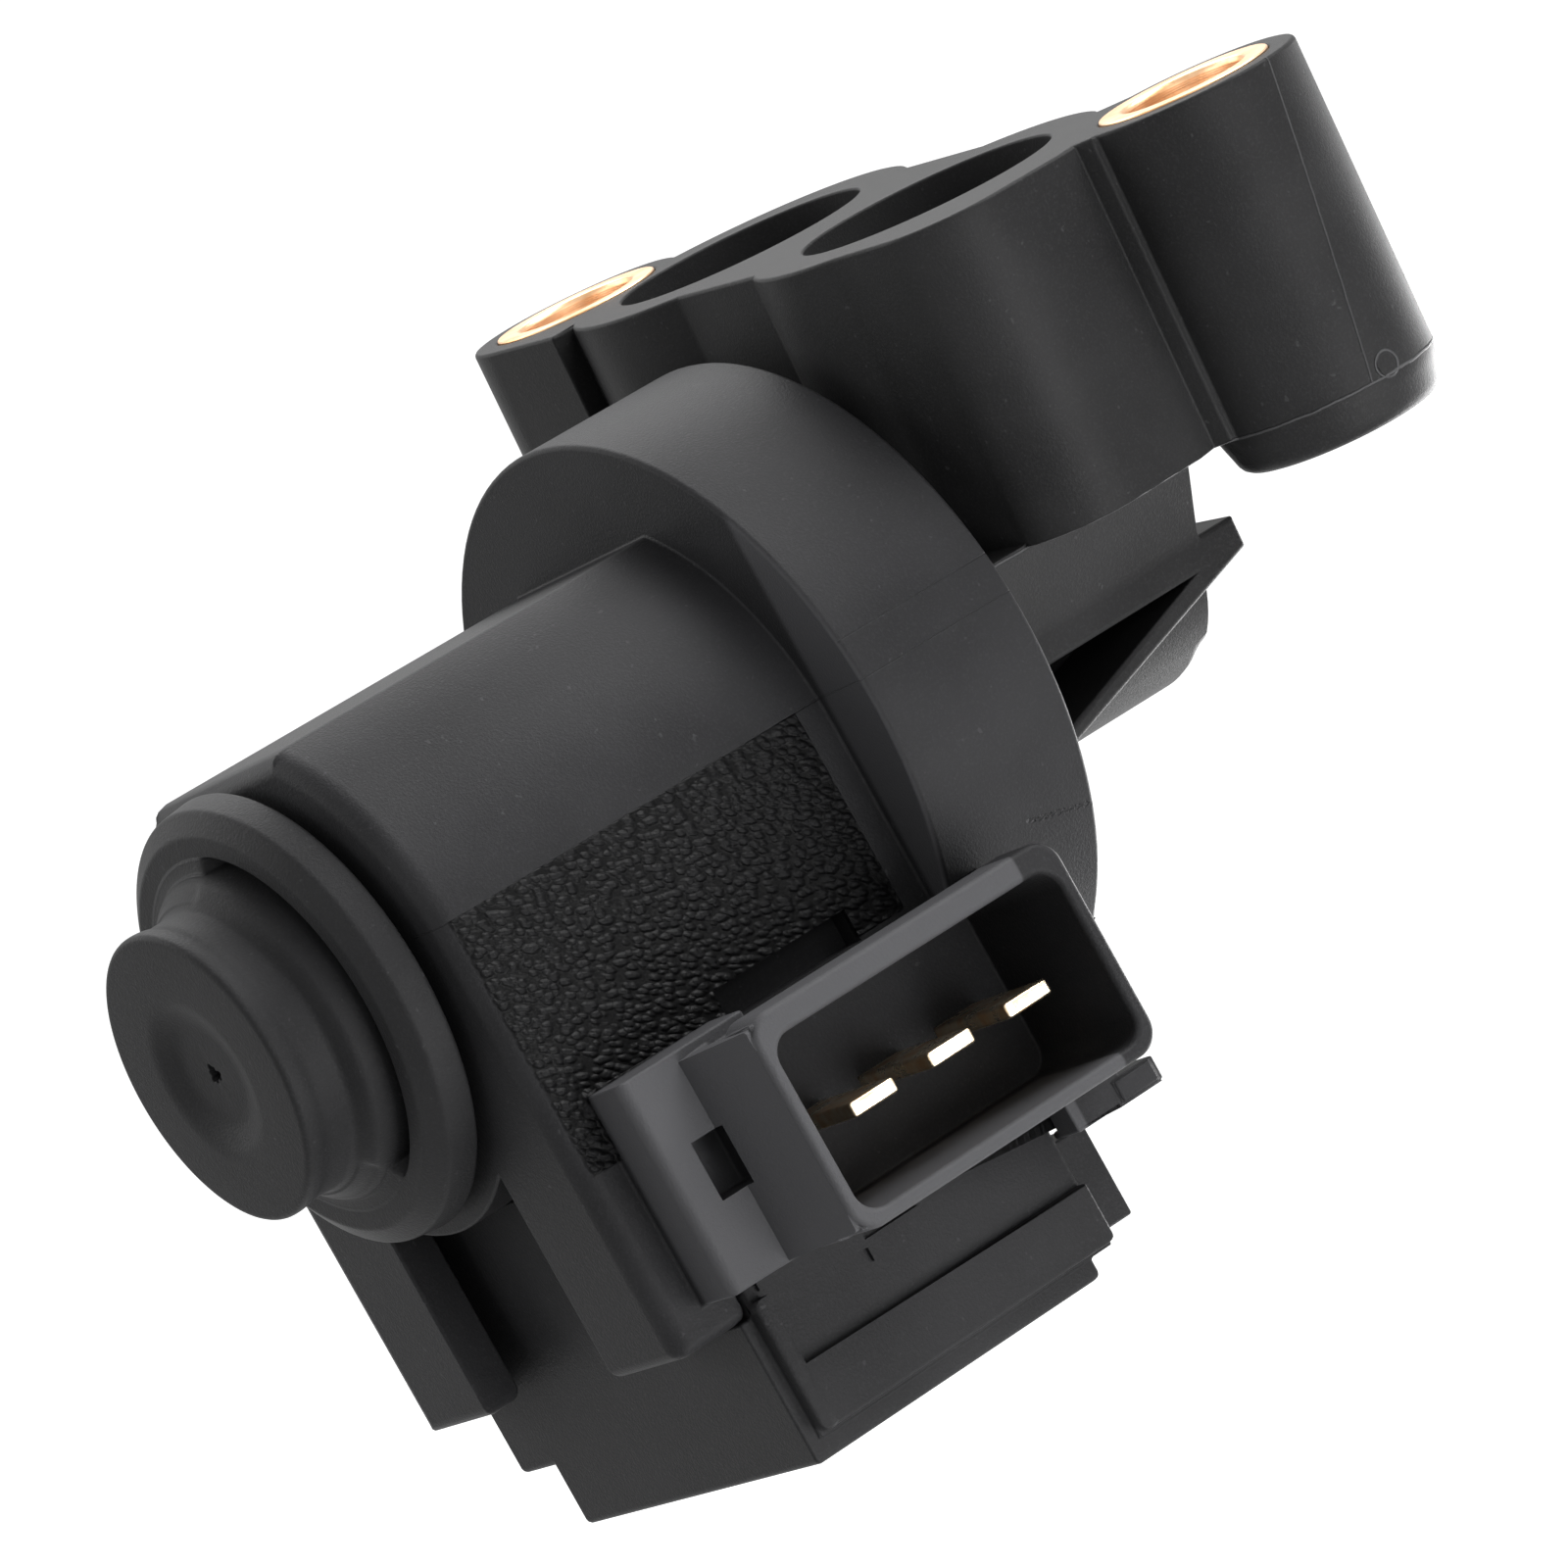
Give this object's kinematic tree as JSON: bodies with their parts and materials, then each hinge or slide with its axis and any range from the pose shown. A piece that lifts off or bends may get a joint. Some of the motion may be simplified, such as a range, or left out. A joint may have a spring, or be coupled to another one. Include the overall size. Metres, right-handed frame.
{
  "type": "idle air control valve",
  "caption": "Rotary slide idle air control valve: black moulded motor housing with a side plug socket, joined by a round disk to a port block with diagonal brass-lined screw holes.",
  "frame": {"origin": "midway between the two mounting holes, on the port face", "axes": "+Z out of the ports, square to the port face; +X along the motor axis, away from the end cap; the plug socket is on the -Y side"},
  "size_m": [0.0676, 0.053, 0.0521],
  "materials": {
    "flange_plastic": "satin black moulding",
    "housing_plastic": "satin black moulding, grained below the parting line",
    "cap_plastic": "matt black moulding",
    "cover_plastic": "matt black moulding",
    "bushing_brass": "turned",
    "terminal_brass": "plated",
    "core_steel": "laminated",
    "bobbin_plastic": "natural moulding",
    "winding_copper": "enamelled wire",
    "magnet": "sintered",
    "hub_aluminium": "turned",
    "shaft_steel": "ground",
    "bearing_bronze": "sintered",
    "plate_aluminium": "die cast",
    "slide_metal": "die cast",
    "seal_rubber": "moulded",
    "ring_steel": "stamped"
  },
  "bodies": {
    "housing": {"valve_housing": "flange_plastic", "bushing_far": "bushing_brass", "bushing_near": "bushing_brass", "motor_housing": "housing_plastic", "end_cap": "cap_plastic", "coil_cover": "cover_plastic", "terminal_1": "terminal_brass", "terminal_2": "terminal_brass", "terminal_3": "terminal_brass", "stator_core": "core_steel", "coil_bobbin": "bobbin_plastic", "winding_open": "winding_copper", "winding_close": "winding_copper", "front_bearing": "bearing_bronze", "rear_bearing": "bearing_bronze", "bearing_plate": "plate_aluminium", "joint_seal": "seal_rubber"},
    "rotor": {"rotor_shaft": "shaft_steel", "magnet_hub": "hub_aluminium", "rotor_magnet": "magnet", "valve_slide": "slide_metal", "retaining_ring": "ring_steel"}
  },
  "joints": [
    {"name": "slide_turn", "type": "hinge", "parent": "housing", "child": "rotor", "pos_m": [-0.0237, 0, -0.0212], "axis": [-1, 0, 0], "range_deg": [0, 76]}
  ]
}
